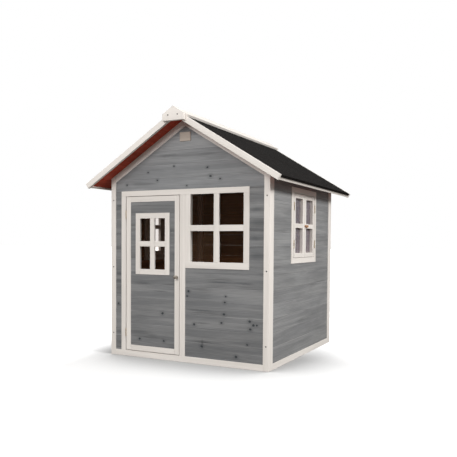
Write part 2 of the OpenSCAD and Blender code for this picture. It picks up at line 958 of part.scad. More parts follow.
corner_posts();
side_wall_stiles();
front_bottom_rail();
back_bottom_rail();
side_bottom_rails();
side_top_rails();
gable_rails();
front_wall_boards();
front_gable_boards();
back_wall_boards();
right_wall_boards();
left_wall_boards();
front_casing_head();
door_hinge_jamb();
front_mullion();
front_window_frame();
front_window_bars();
front_window_pane();
door_stops();
right_roof_boards();
left_roof_boards();
right_roof_felt();
left_roof_felt();
front_bargeboards();
back_bargeboards();
ridge_plates();
right_ridge_cap();
left_ridge_cap();
eave_boards();
roof_battens();
gable_plaque();
frame_screws();
right_window_casing();
left_window_casing();
window_stops();
door_hinge_plates();
window_hinge_plates();
hinge_pins();
door_frame();
door_boards();
door_window_frame();
door_window_bars();
door_window_pane();
door_knob();
door_hinge_leaves();
right_front_sash();
right_front_pane();
right_front_hardware();
right_back_sash();
right_back_pane();
right_back_hardware();
left_front_sash();
left_front_pane();
left_front_hardware();
left_back_sash();
left_back_pane();
left_back_hardware();
right_turn_button();
left_turn_button();
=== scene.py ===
"""The looks of the wooden playhouse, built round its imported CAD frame.

Every timber piece starts from its CAD solid, so it keeps the CAD's size and place. It then gets rounded
arrises, is cut into single boards where the CAD has a run of them, and carries three attributes that the wood
materials read: "grain", its own lengthwise, crosswise and outward coordinates in metres, "tone", one number
for each board or lath, and "edge", the distance across the board from its middle.
"""

import json
import math
import random

import bmesh
import bpy
import numpy as np
from mathutils import Matrix, Vector, noise

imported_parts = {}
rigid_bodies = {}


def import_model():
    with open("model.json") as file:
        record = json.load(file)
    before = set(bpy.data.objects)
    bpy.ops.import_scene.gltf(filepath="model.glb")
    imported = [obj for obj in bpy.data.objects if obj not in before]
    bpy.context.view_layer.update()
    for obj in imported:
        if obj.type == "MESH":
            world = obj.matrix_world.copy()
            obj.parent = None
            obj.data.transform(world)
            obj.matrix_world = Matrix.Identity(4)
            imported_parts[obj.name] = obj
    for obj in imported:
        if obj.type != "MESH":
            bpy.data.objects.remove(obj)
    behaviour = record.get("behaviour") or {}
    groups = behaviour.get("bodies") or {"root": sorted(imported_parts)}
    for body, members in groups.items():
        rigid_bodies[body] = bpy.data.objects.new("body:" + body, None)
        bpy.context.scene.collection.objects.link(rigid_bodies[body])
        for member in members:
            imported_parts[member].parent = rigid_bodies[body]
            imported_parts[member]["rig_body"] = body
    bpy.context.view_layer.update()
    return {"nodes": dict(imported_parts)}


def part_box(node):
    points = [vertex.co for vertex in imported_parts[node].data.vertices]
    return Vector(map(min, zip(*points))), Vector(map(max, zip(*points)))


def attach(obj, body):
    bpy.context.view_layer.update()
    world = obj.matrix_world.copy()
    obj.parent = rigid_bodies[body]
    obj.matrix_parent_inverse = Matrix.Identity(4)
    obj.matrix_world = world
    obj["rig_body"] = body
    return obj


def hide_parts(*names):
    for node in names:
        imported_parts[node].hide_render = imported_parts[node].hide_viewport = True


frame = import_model()
scene = bpy.context.scene
NODES = frame["nodes"]

X = Vector((1, 0, 0))
Y = Vector((0, 1, 0))
Z = Vector((0, 0, 1))

# ------------------------------------------------------------------ sizes

WELD = 1e-6            # vertices closer than this are one
FLAT = math.radians(0.5)   # faces closer in angle than this are one
SHARP = math.radians(28)   # edges sharper than this get a rounded arris
SMOOTH = math.radians(50)  # edges flatter than this are shaded as one surface
METAL_SMOOTH = math.radians(32)
FIRST_JOINT = 0.045    # height of the lowest joint between wall boards
BOARD_COVER = 0.082    # from one joint between wall boards to the next
WALL_JOINTS = 20       # enough joints to reach the top of the gable
ROOF_BOARD_W = 0.095
ROOF_JOINTS = 11       # enough joints to reach the eaves
THINNEST_STRIP = 0.004 # a strip narrower than this stays on its neighbour
BOARD_GAP = 0.00015    # half the gap between two boards
BOARD_PLAY = 0.0003    # how far a board may stand in or out of its wall
GROOVE_FACE = 0.0007   # depth of the joint between two wall boards, as the stain fills it
GROOVE_DEEP = 0.003    # anything sunk deeper than this isn't a joint
LATH_ROUND = 0.0014
BLOCK_ROUND = 0.0018
BOARD_ROUND = 0.0005
PANE_ROUND = 0.0003
METAL_ROUND = 0.0002
FELT_ROWS = 34         # strips of felt from the front to the back
FELT_COLUMNS = 20      # strips of felt from the ridge to the eaves
FELT_SKIN = 0.001      # points this close to the felt's top belong to its upper face
FELT_DIP = 0.0009      # how far the felt's upper face may sink
PIN_INSET = 0.008      # from the plaque's ends to its pins
EDGE_WEAR_AND_HIGHLIGHT_SPAN = (BOARD_COVER / 2 - 0.0025, BOARD_COVER / 2 - 0.0005)   # where a board turns lighter towards a joint: worn stain and a painted highlight

# ------------------------------------------------------------------ looks

FAR = 9.0              # a distance in knot radii at which a knot has no effect
KNOT_CELLS = (7.0, 12.0, 12.0)   # cells to a metre along, across and out, with one knot at most in each
# Colour laid on a board's upper and lower edges: partly stain worn thin, partly a painted highlight where the
# arris catches light
EDGE_WEAR_AND_HIGHLIGHT = (0.42, 0.42, 0.41)
FILM_HAZE = 0.022
FILM_CORNER = (0.213, 0.806)     # x and z of the upper right corner of the front pane's tinted film


def roof_pitch():
    """The slope of the roof, read from the right felt's ridge and its lower edge."""
    points = [v.co for v in NODES["right_roof_felt"].data.vertices]
    top = max(points, key=lambda p: p.z)
    edge = max(points, key=lambda p: (round(p.x, 4), p.z))
    return math.atan2(top.z - edge.z, edge.x - top.x)


PITCH = roof_pitch()


def down_slope(side):
    """The direction down the right (1) or the left (-1) slope of the roof."""
    return Vector((side * math.cos(PITCH), 0, -math.sin(PITCH)))


def off_slope(side):
    """The direction square to the right (1) or the left (-1) slope, away from the house."""
    return Vector((side * math.sin(PITCH), 0, math.cos(PITCH)))


# ------------------------------------------------------- shader node helpers

class Shader:
    """A material and short ways to add nodes to it."""

    def __init__(self, name):
        self.material = bpy.data.materials.new(name)
        self.material.use_nodes = True
        self.tree = self.material.node_tree
        self.tree.nodes.clear()
        self.out = self.tree.nodes.new("ShaderNodeOutputMaterial")

    def node(self, kind, settings=None, **inputs):
        made = self.tree.nodes.new("ShaderNode" + kind)
        for key, value in (settings or {}).items():
            setattr(made, key, value)
        for key, value in inputs.items():
            self.put(made.inputs[key.replace("_", " ")], value)
        return made

    def put(self, socket, value):
        if isinstance(value, bpy.types.NodeSocket):
            self.tree.links.new(value, socket)
        else:
            socket.default_value = value

    def math(self, operation, a, b=0.0):
        made = self.tree.nodes.new("ShaderNodeMath")
        made.operation = operation
        self.put(made.inputs[0], a)
        self.put(made.inputs[1], b)
        return made.outputs[0]

    def vector(self, operation, a, b=(0, 0, 0)):
        made = self.tree.nodes.new("ShaderNodeVectorMath")
        made.operation = operation
        self.put(made.inputs[0], a)
        self.put(made.inputs[1], b)
        return made.outputs["Value" if operation in ("LENGTH", "DOT_PRODUCT") else "Vector"]

    def span(self, value, low, high, to_low=0.0, to_high=1.0):
        """value from low..high, held there, as a number from to_low to to_high."""
        made = self.tree.nodes.new("ShaderNodeMapRange")
        made.interpolation_type = "SMOOTHSTEP"
        for key, v in (("Value", value), ("From Min", low), ("From Max", high),
                       ("To Min", to_low), ("To Max", to_high)):
            self.put(made.inputs[key], v)
        return made.outputs["Result"]

    def noise(self, vector, scale, detail=3.0, roughness=0.55, distortion=0.0):
        made = self.node("TexNoise", Vector=vector, Scale=scale, Detail=detail,
                         Roughness=roughness, Distortion=distortion)
        return made.outputs["Fac"]

    def mix(self, factor, a, b, blend="MIX"):
        made = self.tree.nodes.new("ShaderNodeMix")
        made.data_type = "RGBA"
        made.blend_type = blend
        self.put(made.inputs[0], factor)
        self.put(made.inputs[6], colour(a))
        self.put(made.inputs[7], colour(b))
        return made.outputs[2]

    def shade(self, base, factor):
        """base times a plain factor."""
        grey = self.node("CombineColor", Red=factor, Green=factor, Blue=factor).outputs[0]
        return self.mix(1.0, base, grey, "MULTIPLY")

    def attribute(self, name, output="Vector"):
        return self.node("Attribute", {"attribute_name": name}).outputs[output]

    def bump(self, height, distance, strength=1.0):
        return self.node("Bump", Strength=strength, Distance=distance, Height=height).outputs["Normal"]

    def blend(self, factor, first, second):
        """The surface first, with second over the share factor of it."""
        made = self.node("MixShader", Fac=factor)
        self.tree.links.new(first.outputs[0], made.inputs[1])
        self.tree.links.new(second.outputs[0], made.inputs[2])
        return made

    def finish(self, surface):
        self.tree.links.new(surface.outputs[0], self.out.inputs["Surface"])
        return self.material


def colour(value):
    """A colour of three numbers with its alpha, and anything else as it is."""
    if isinstance(value, tuple) and len(value) == 3:
        return (*value, 1.0)
    return value


# ------------------------------------------------------------------ materials

# Knots on the front wall and the door: [x, z, radius] in metres in the house's frame
FRONT_KNOTS = [
    (-0.43, 1.08, 0.008), (-0.27, 1.15, 0.007), (-0.20, 1.10, 0.008), (-0.08, 1.18, 0.007),
    (0.01, 1.06, 0.006), (0.15, 1.16, 0.008), (0.17, 1.11, 0.010), (0.235, 1.09, 0.008),
    (0.40, 1.18, 0.009), (-0.16, 0.285, 0.010), (-0.33, 0.115, 0.009), (-0.15, 0.115, 0.009),
    (0.025, 0.43, 0.009), (0.017, 0.40, 0.007), (0.275, 0.41, 0.007), (0.27, 0.375, 0.009),
    (0.265, 0.305, 0.010), (0.25, 0.255, 0.009), (0.43, 0.275, 0.010), (0.455, 0.255, 0.010),
    (0.435, 0.23, 0.010), (0.475, 0.255, 0.007), (0.415, 0.14, 0.008), (0.118, 0.105, 0.010),
    (0.345, 0.065, 0.010), (0.065, 0.235, 0.009), (-0.495, 0.33, 0.009),
]
# Dark streaks along the grain: [x, z, half length, half width]
FRONT_STREAKS = [
    (0.24, 0.49, 0.07, 0.005), (0.40, 0.487, 0.05, 0.005), (0.12, 0.245, 0.06, 0.005),
    (-0.30, 0.465, 0.06, 0.005), (-0.18, 0.42, 0.05, 0.004), (0.12, 0.125, 0.008, 0.022),
    (0.47, 0.65, 0.06, 0.022), (-0.12, 1.245, 0.09, 0.009), (0.46, 0.745, 0.05, 0.012),
    (0.47, 0.91, 0.05, 0.012), (0.48, 0.83, 0.07, 0.028), (-0.49, 0.95, 0.03, 0.012),
    (-0.49, 0.52, 0.03, 0.010), (-0.49, 0.475, 0.03, 0.012), (-0.49, 0.32, 0.03, 0.008),
    (-0.49, 0.15, 0.03, 0.012), (0.10, 0.32, 0.10, 0.006), (-0.33, 0.16, 0.10, 0.010),
]


def explicit_knots(s, place):
    """The smallest distance to a front knot, in knot radii, at place in the house's frame."""
    nearest = FAR
    for x, z, r in FRONT_KNOTS:
        offset = s.vector("SUBTRACT", place, (x, 0, z))
        stretched = s.vector("MULTIPLY", offset, (0.8 / r, 0, 1 / r))
        nearest = s.math("MINIMUM", s.vector("LENGTH", stretched), nearest)
    return nearest


def explicit_streaks(s, place):
    """How much of a dark streak there is at place, from 0 to 1."""
    total = 0.0
    for x, z, half_length, half_width in FRONT_STREAKS:
        offset = s.vector("SUBTRACT", place, (x, 0, z))
        stretched = s.vector("MULTIPLY", offset, (1 / half_length, 0, 1 / half_width))
        here = s.span(s.vector("LENGTH", stretched), 0.1, 1.5, 1.0, 0.0)
        total = s.math("MAXIMUM", here, total)
    return total


def wood(name, light, dark, knot, tone_swing=0.10, grain_depth=0.22, knot_share=0.16, knot_r=0.005,
         roughness=0.62, relief=0.00025, front=False, band_depth=0.0, rim=0.0):
    """Stained or bare softwood: streaks, growth lines, fibres and knots along each board's own grain.

    light, dark and knot are its colours. tone_swing is how much the boards differ, grain_depth and band_depth
    how strong the lines and the dark bands are, knot_share the share of cells with a knot, and rim how much
    lighter a board's upper and lower edges are, from worn stain and a painted highlight on the arris. front
    adds the knots and streaks of the front wall."""
    s = Shader(name)
    grain = s.attribute("grain")
    tone = s.attribute("tone", "Fac")
    place = s.node("TexCoord").outputs["Object"]

    # Random knots, one to a cell at most, and only in some of the cells
    wobble = s.vector("SCALE", s.vector("SUBTRACT", s.node(
        "TexNoise", Vector=grain, Scale=40.0, Detail=2.0).outputs["Color"], (0.5, 0.5, 0.5)))
    wobble.node.inputs["Scale"].default_value = 0.008
    warped = s.vector("ADD", grain, wobble)
    cells = s.node("TexVoronoi", Vector=s.vector("MULTIPLY", warped, KNOT_CELLS), Scale=1.0)
    lot = s.node("SeparateColor", Color=cells.outputs["Color"]).outputs[0]
    chosen = s.math("LESS_THAN", lot, knot_share)
    apart = s.math("DIVIDE", cells.outputs["Distance"], knot_r * KNOT_CELLS[1])
    far = s.math("MULTIPLY", s.math("SUBTRACT", 1.0, chosen), FAR)
    knots = s.math("ADD", apart, far)
    if front:
        moved = s.vector("ADD", place, wobble)
        knots = s.math("MINIMUM", knots, explicit_knots(s, moved))

    # Growth lines bend round the knots
    bend = s.math("DIVIDE", 0.010, s.math("ADD", 1.0, s.math("MULTIPLY", knots, knots)))
    bent = s.vector("ADD", grain, s.node("CombineXYZ", Y=bend).outputs[0])
    streaks = s.noise(s.vector("MULTIPLY", bent, (1.6, 26.0, 26.0)), 1.0, 4.0, 0.6, 0.5)
    elsewhere = s.vector("ADD", bent, (3.0, 5.0, 7.0))
    bands = s.noise(s.vector("MULTIPLY", elsewhere, (2.2, 30.0, 30.0)), 1.0, 3.0, 0.5)
    broad = s.noise(s.vector("MULTIPLY", grain, (2.4, 6.0, 6.0)), 1.0, 3.0, 0.55)
    fibres = s.noise(s.vector("MULTIPLY", bent, (14.0, 520.0, 520.0)), 1.0, 3.0, 0.6)
    rings = s.node("TexWave", {"wave_type": "BANDS", "bands_direction": "Y"},
                   Vector=s.vector("MULTIPLY", bent, (0.9, 40.0, 12.0)), Scale=1.0, Distortion=5.0,
                   Detail=2.0, Detail_Scale=1.2).outputs["Fac"]

    base = s.mix(s.span(streaks, 0.30, 0.72), dark, light)
    base = s.shade(base, s.span(bands, 0.58, 0.76, 1.0, 1.0 - band_depth))
    base = s.shade(base, s.span(rings, 0.0, 1.0, 1.0 - grain_depth * 0.45, 1.0 + grain_depth * 0.25))
    base = s.shade(base, s.span(fibres, 0.2, 0.8, 1.0 - grain_depth * 0.35, 1.0 + grain_depth * 0.25))
    base = s.shade(base, s.span(broad, 0.25, 0.75, 1.0 - grain_depth * 0.5, 1.0 + grain_depth * 0.35))
    base = s.shade(base, s.span(tone, 0.0, 1.0, 1.0 - tone_swing, 1.0 + tone_swing))
    if rim:
        # A board's upper and lower edges are lighter: the stain worn thin there, and a painted highlight on
        # the arris
        edge = s.math("ABSOLUTE", s.attribute("edge", "Fac"))
        wear_and_highlight = s.math("MULTIPLY", s.span(edge, *EDGE_WEAR_AND_HIGHLIGHT_SPAN), s.span(streaks, 0.35, 0.65, 0.2, 1.0))
        base = s.mix(s.math("MULTIPLY", wear_and_highlight, rim), base, EDGE_WEAR_AND_HIGHLIGHT)
    if front:
        base = s.mix(s.math("MULTIPLY", explicit_streaks(s, moved), 0.45), base, knot)
    halo = s.span(knots, 0.8, 2.4, 0.22, 0.0)
    core = s.span(knots, 0.45, 0.95, 0.95, 0.0)
    base = s.mix(s.math("MAXIMUM", halo, core), base, knot)

    height = s.math("ADD", s.math("MULTIPLY", fibres, 0.6), s.math("MULTIPLY", rings, 0.4))
    normal = s.bump(height, relief)
    shine = s.span(streaks, 0.2, 0.8, roughness + 0.08, roughness - 0.06)
    skin = s.node("BsdfPrincipled", Base_Color=base, Roughness=shine, Normal=normal)
    skin.inputs["Specular IOR Level"].default_value = 0.32
    return s.finish(skin)


def felt_material():
    """Bitumen felt with fine mineral grit."""
    s = Shader("roofing_felt")
    place = s.node("TexCoord").outputs["Object"]
    grit = s.node("TexVoronoi", Vector=place, Scale=900.0).outputs["Color"]
    spark = s.node("SeparateColor", Color=grit).outputs[0]
    patches = s.noise(place, 7.0, 5.0, 0.6)
    fine = s.noise(place, 300.0, 2.0)
    base = s.mix(s.span(patches, 0.3, 0.7), (0.0035, 0.0029, 0.0027), (0.0065, 0.0056, 0.0052))
    base = s.mix(s.math("POWER", spark, 6.0), base, (0.035, 0.032, 0.030))
    height = s.math("ADD", s.math("MULTIPLY", spark, 0.6), fine)
    skin = s.node("BsdfPrincipled", Base_Color=base, Roughness=s.span(patches, 0.3, 0.7, 0.86, 0.95),
                  Normal=s.bump(height, 0.0006, 0.7))
    skin.inputs["Specular IOR Level"].default_value = 0.06
    return s.finish(skin)


def steel_material(name, base_colour, roughness):
    """Metal with fine brushing and dull patches."""
    s = Shader(name)
    place = s.node("TexCoord").outputs["Object"]
    brush = s.noise(s.vector("MULTIPLY", place, (1500.0, 1500.0, 120.0)), 1.0, 2.0)
    patches = s.noise(place, 90.0, 3.0)
    base = s.shade(base_colour, s.span(patches, 0.3, 0.7, 0.82, 1.08))
    skin = s.node("BsdfPrincipled", Base_Color=base, Metallic=1.0,
                  Roughness=s.span(brush, 0.3, 0.7, roughness - 0.08, roughness + 0.1),
                  Normal=s.bump(brush, 0.00004, 0.5))
    return s.finish(skin)


def pane_material(name, tint, haze, gloss_ior, milk, film=None):
    """A clear sheet: see-through, with a haze of dust in the colour milk and a sharp reflection. film is the
    upper right corner, in the house's frame, of the part that still wears its film, which is hazier."""
    s = Shader(name)
    place = s.node("TexCoord").outputs["Object"]
    dust = s.noise(place, 9.0, 4.0)
    ripple = s.noise(place, 3.0, 1.0)
    normal = s.bump(ripple, 0.002, 0.25)
    clear = s.node("BsdfTransparent", Color=colour(tint))
    cloud = s.node("BsdfDiffuse", Color=colour(milk), Normal=normal)
    gloss = s.node("BsdfGlossy", Color=(1, 1, 1, 1), Roughness=0.04, Normal=normal)
    share = s.span(dust, 0.2, 0.8, haze * 0.8, haze * 1.2)
    if film:
        spot = s.node("SeparateXYZ", Vector=place)
        left = s.math("LESS_THAN", spot.outputs["X"], film[0])
        low = s.math("LESS_THAN", spot.outputs["Z"], film[1])
        share = s.math("ADD", share, s.math("MULTIPLY", s.math("MULTIPLY", left, low), FILM_HAZE))
    # The sheet doesn't bend light here, so its far face mustn't mirror or cloud it a second time
    outer = s.math("SUBTRACT", 1.0, s.node("NewGeometry").outputs["Backfacing"])
    veil = s.blend(s.math("MULTIPLY", share, outer), clear, cloud)
    shine = s.math("MULTIPLY", s.node("Fresnel", IOR=gloss_ior, Normal=normal).outputs[0], outer)
    return s.finish(s.blend(shine, veil, gloss))


white_wood = wood("white_wood", (0.79, 0.745, 0.70), (0.71, 0.665, 0.62), (0.50, 0.40, 0.31),
                  tone_swing=0.02, grain_depth=0.06, knot_share=0.04, roughness=0.6, relief=0.00012)
grey_wood = wood("grey_wood", (0.285, 0.285, 0.283), (0.200, 0.202, 0.205), (0.075, 0.075, 0.077),
                 tone_swing=0.06, grain_depth=0.26, knot_share=0.22, knot_r=0.0045, band_depth=0.22, rim=0.3)
front_grey_wood = wood("front_grey_wood", (0.242, 0.242, 0.242), (0.160, 0.163, 0.167),
                       (0.036, 0.040, 0.044), tone_swing=0.05, grain_depth=0.24, knot_share=0.0,
                       front=True, band_depth=0.38, rim=0.4)
# The gable's boards wear a lighter copy of the front's grey stain: painted light, brighter than the wall
# below
lit_gable_grey_wood = wood("lit_gable_grey_wood", (0.300, 0.304, 0.308), (0.225, 0.230, 0.236),
                       (0.036, 0.040, 0.044), tone_swing=0.05, grain_depth=0.22, knot_share=0.0,
                       front=True, band_depth=0.28, rim=0.4)
red_wood = wood("red_wood", (0.46, 0.060, 0.024), (0.33, 0.038, 0.015), (0.10, 0.014, 0.008),
                tone_swing=0.12, grain_depth=0.25)
brown_wood = wood("brown_wood", (0.30, 0.125, 0.045), (0.19, 0.075, 0.027), (0.08, 0.034, 0.014),
                  tone_swing=0.12, grain_depth=0.25)
tan_wood = wood("tan_wood", (0.58, 0.36, 0.22), (0.44, 0.25, 0.14), (0.26, 0.13, 0.07),
                tone_swing=0.05, grain_depth=0.22, knot_share=0.0, knot_r=0.004)
plaque_wood = wood("plaque_wood", (0.50, 0.44, 0.38), (0.42, 0.36, 0.31), (0.30, 0.22, 0.17),
                   tone_swing=0.03, grain_depth=0.15, knot_share=0.0)
button_wood = wood("button_wood", (0.44, 0.21, 0.09), (0.31, 0.14, 0.06), (0.16, 0.07, 0.04),
                   tone_swing=0.04, grain_depth=0.3, knot_share=0.0)
black_felt = felt_material()
zinc = steel_material("zinc", (0.62, 0.60, 0.56), 0.38)
brass = steel_material("brass", (0.86, 0.76, 0.62), 0.5)
# Near-black metal for the sunk screw heads: painted shade of their recesses
painted_shade_zinc = steel_material("painted_shade_zinc", (0.09, 0.085, 0.08), 0.5)
satin_knob = steel_material("satin_knob", (0.60, 0.55, 0.48), 0.32)
front_pane = pane_material("front_pane", (0.97, 0.945, 0.92), 0.008, 1.12, (0.66, 0.36, 0.20))
film_pane = pane_material("film_pane", (0.97, 0.945, 0.92), 0.016, 1.12, (0.66, 0.36, 0.20), FILM_CORNER)
clear_pane = pane_material("clear_pane", (0.985, 0.98, 0.985), 0.02, 1.40, (0.52, 0.46, 0.53))
side_pane = pane_material("side_pane", (0.97, 0.96, 0.97), 0.27, 1.40, (0.52, 0.46, 0.53))


# ------------------------------------------------------------ mesh helpers

def cad_parts(node):
    """The separate solids of a CAD node, each as a bmesh with its flat faces merged."""
    whole = bmesh.new()
    whole.from_mesh(NODES[node].data)
    bmesh.ops.remove_doubles(whole, verts=whole.verts[:], dist=WELD)
    bmesh.ops.dissolve_limit(whole, angle_limit=FLAT, verts=whole.verts[:], edges=whole.edges[:])
    whole.verts.index_update()
    waiting = set(whole.verts)
    parts = []
    while waiting:
        found = {waiting.pop()}
        edge = list(found)
        while edge:
            for link in edge.pop().link_edges:
                for v in link.verts:
                    if v in waiting:
                        waiting.remove(v)
                        found.add(v)
                        edge.append(v)
        keep = {v.index for v in found}
        part = whole.copy()
        bmesh.ops.delete(part, geom=[v for v in part.verts if v.index not in keep], context="VERTS")
        parts.append(part)
    whole.free()
    return sorted(parts, key=lambda p: tuple(round(c, 4) for c in middle(p)))


def extent(part):
    """The low and the high corner of a part's box."""
    points = [v.co for v in part.verts]
    low = Vector(min(p[i] for p in points) for i in range(3))
    high = Vector(max(p[i] for p in points) for i in range(3))
    return low, high


def middle(part):
    low, high = extent(part)
    return (low + high) / 2


def cut(part, point, normal):
    """Takes away what lies on the normal's side of a plane and closes the cut."""
    geometry = part.verts[:] + part.edges[:] + part.faces[:]
    made = bmesh.ops.bisect_plane(part, geom=geometry, dist=WELD, plane_co=point, plane_no=normal,
                                  clear_outer=True)
    rim = [g for g in made["geom_cut"] if isinstance(g, bmesh.types.BMEdge) and g.is_valid]
    if rim:
        bmesh.ops.edgeloop_fill(part, edges=rim)
    bmesh.ops.remove_doubles(part, verts=part.verts[:], dist=WELD)


def slices(part, direction, marks):
    """The part cut into boards at marks, which are distances along direction from the origin."""
    along = [v.co.dot(direction) for v in part.verts]
    first, last = min(along) + THINNEST_STRIP, max(along) - THINNEST_STRIP
    ends = [min(along), *[m for m in marks if first < m < last], max(along)]
    boards = []
    for low, high in zip(ends, ends[1:]):
        board = part.copy()
        if high < max(along):
            cut(board, direction * (high - BOARD_GAP), direction)
        if low > min(along):
            cut(board, direction * (low + BOARD_GAP), -direction)
        boards.append(board)
    part.free()
    return boards


def round_arrises(part, radius, segments=2, shortest=0.004):
    """Rounds the sharp edges that are longer than shortest, which leaves the rims of screw holes."""
    part.normal_update()
    edges = [e for e in part.edges
             if len(e.link_faces) == 2 and e.calc_face_angle() > SHARP and e.calc_length() > shortest]
    if edges:
        bmesh.ops.bevel(part, geom=edges, offset=radius, offset_type="OFFSET", segments=segments,
                        profile=0.6, affect="EDGES", clamp_overlap=True)
    return part


class Piece:
    """Gathers parts into one mesh object that carries the grain, tone and edge of each."""

    def __init__(self, name, seed):
        self.name = name
        self.draw = random.Random(seed)
        self.points, self.faces, self.slots = [], [], []
        self.grain, self.tone, self.edge = [], [], []

    def add(self, part, along=None, out=None, inner=None):
        """Adds a part whose grain runs along, with out pointing from its face. Faces turned to inner get
        the piece's second material."""
        low, high = extent(part)
        size = high - low
        if along is None:
            along = (X, Y, Z)[max(range(3), key=lambda i: size[i])]
        if out is None:
            out = min((a for a in (X, Y, Z) if abs(a.dot(along)) < 0.9), key=lambda a: abs(size.dot(a)))
        across = along.cross(out).normalized()
        shift = Vector(self.draw.uniform(-40, 40) for _ in range(3))
        tone = self.draw.random()
        start = len(self.points)
        centre = (low + high) / 2
        part.verts.index_update()
        for v in part.verts:
            self.points.append(v.co.copy())
            d = v.co - centre
            self.grain.append(Vector((d.dot(along), d.dot(across), d.dot(out))) + shift)
            self.tone.append(tone)
            self.edge.append(d.dot(across))
        for f in part.faces:
            self.faces.append([start + v.index for v in f.verts])
            turned = inner is not None and f.normal.dot(inner) > 0.9
            self.slots.append(1 if turned else 0)
        part.free()

    def make(self, body, materials, replaced=(), smooth=SMOOTH):
        mesh = bpy.data.meshes.new(self.name)
        mesh.from_pydata(self.points, [], self.faces)
        grain = mesh.attributes.new("grain", "FLOAT_VECTOR", "POINT")
        grain.data.foreach_set("vector", np.array(self.grain, np.float32).ravel())
        tone = mesh.attributes.new("tone", "FLOAT", "POINT")
        tone.data.foreach_set("value", np.array(self.tone, np.float32))
        edge = mesh.attributes.new("edge", "FLOAT", "POINT")
        edge.data.foreach_set("value", np.array(self.edge, np.float32))
        for material in materials:
            mesh.materials.append(material)
        mesh.polygons.foreach_set("material_index", self.slots)
        mesh.polygons.foreach_set("use_smooth", [True] * len(mesh.polygons))
        mesh.validate()
        mesh.set_sharp_from_angle(angle=smooth)
        made = bpy.data.objects.new(self.name, mesh)
        scene.collection.objects.link(made)
        made.modifiers.new("even_normals", "WEIGHTED_NORMAL").keep_sharp = True
        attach(made, body)
        if replaced:
            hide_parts(*replaced)
        return made


def body_of(node):
    return NODES[node]["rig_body"]


# ---------------------------------------------------------------- the timber

def laths(node, material=white_wood, radius=LATH_ROUND, along=None):
    """Every solid of a node as a planed lath. along may be a function of a lath's middle."""
    piece = Piece(node + "_timber", node)
    for part in cad_parts(node):
        way = along(middle(part)) if along else None
        round_arrises(part, radius)
        piece.add(part, way)
    return piece.make(body_of(node), [material], [node])


def wall_boards(node, out, material):
    """A run of wall boards as single boards, stained outside and brown inside, with out the outer side."""
    piece = Piece(node + "_timber", node)
    along = Z.cross(out)
    marks = [FIRST_JOINT + i * BOARD_COVER for i in range(WALL_JOINTS)]
    for part in cad_parts(node):
        face = max(v.co.dot(out) for v in part.verts)
        for v in part.verts:
            sunk = face - v.co.dot(out)
            if GROOVE_FACE < sunk < GROOVE_DEEP:
                v.co += out * (sunk - GROOVE_FACE)
        for board in slices(part, Z, marks):
            shift = out * piece.draw.uniform(-BOARD_PLAY, 0)
            bmesh.ops.translate(board, verts=board.verts[:], vec=shift)
            round_arrises(board, BOARD_ROUND)
            piece.add(board, along, out, -out)
    return piece.make(body_of(node), [material, brown_wood], [node])


def roof_boards(node, side):
    """One slope's boards, red-brown all round."""
    piece = Piece(node + "_timber", node)
    way = down_slope(side)
    start = min(v.co.dot(way) for v in NODES[node].data.vertices)
    marks = [start + ROOF_BOARD_W * (i + 1) for i in range(ROOF_JOINTS)]
    for part in cad_parts(node):
        for board in slices(part, way, marks):
            round_arrises(board, BOARD_ROUND)
            piece.add(board, Y, off_slope(side))
    return piece.make(body_of(node), [red_wood], [node])


def sloping(centre):
    """The direction of a lath that follows the roof, from where its middle is."""
    return down_slope(1 if centre.x > 0 else -1)


def split(part, direction, low, high, count):
    """Adds edges that divide a part into count equal strips from low to high along a direction."""
    for i in range(1, count):
        mark = low + (high - low) * i / count
        geometry = part.verts[:] + part.edges[:] + part.faces[:]
        bmesh.ops.bisect_plane(part, geom=geometry, dist=WELD, plane_co=direction * mark, plane_no=direction)


def felt(node, side):
    """One slope's felt, cut into a fine grid so that it can lie a little uneven on the boards."""
    piece = Piece(node + "_sheet", node)
    way, out = down_slope(side), off_slope(side)
    for part in cad_parts(node):
        low, high = extent(part)
        split(part, Y, low.y, high.y, FELT_ROWS)
        along = [v.co.dot(way) for v in part.verts]
        split(part, way, min(along), max(along), FELT_COLUMNS)
        part.normal_update()
        top = max(v.co.dot(out) for v in part.verts)
        for v in part.verts:
            if v.co.dot(out) > top - FELT_SKIN:
                v.co -= out * (FELT_DIP * (0.5 + 0.5 * noise.noise(v.co * 7)))
        piece.add(part, way, out)
    return piece.make(body_of(node), [black_felt], [node])


for name in ("corner_posts", "side_wall_stiles", "front_bottom_rail", "back_bottom_rail",
             "side_bottom_rails", "side_top_rails", "front_casing_head", "door_hinge_jamb",
             "front_mullion", "front_window_frame", "front_window_bars", "door_stops",
             "right_window_casing", "left_window_casing", "window_stops",
             "door_frame", "door_window_frame", "door_window_bars", "ridge_plates",
             "right_ridge_cap", "left_ridge_cap", "eave_boards",
             "right_front_sash", "right_back_sash", "left_front_sash", "left_back_sash"):
    laths(name)
for name in ("gable_rails", "front_bargeboards", "back_bargeboards"):
    laths(name, along=sloping)
laths("roof_battens", tan_wood)
laths("gable_plaque", plaque_wood, BLOCK_ROUND)
laths("right_turn_button", button_wood, BLOCK_ROUND)
laths("left_turn_button", button_wood, BLOCK_ROUND)

wall_boards("front_wall_boards", -Y, front_grey_wood)
# The gable boards take the lighter copy of the front stain, painted light
wall_boards("front_gable_boards", -Y, lit_gable_grey_wood)
wall_boards("door_boards", -Y, front_grey_wood)
wall_boards("back_wall_boards", Y, grey_wood)
wall_boards("right_wall_boards", X, grey_wood)
wall_boards("left_wall_boards", -X, grey_wood)
roof_boards("right_roof_boards", 1)
roof_boards("left_roof_boards", -1)
felt("right_roof_felt", 1)
felt("left_roof_felt", -1)


# -------------------------------------------------------------- the panes

def pane(node, material):
    """A CAD pane with its edges broken."""
    piece = Piece(node + "_sheet", node)
    for part in cad_parts(node):
        piece.add(round_arrises(part, PANE_ROUND, 1))
    return piece.make(body_of(node), [material], [node])


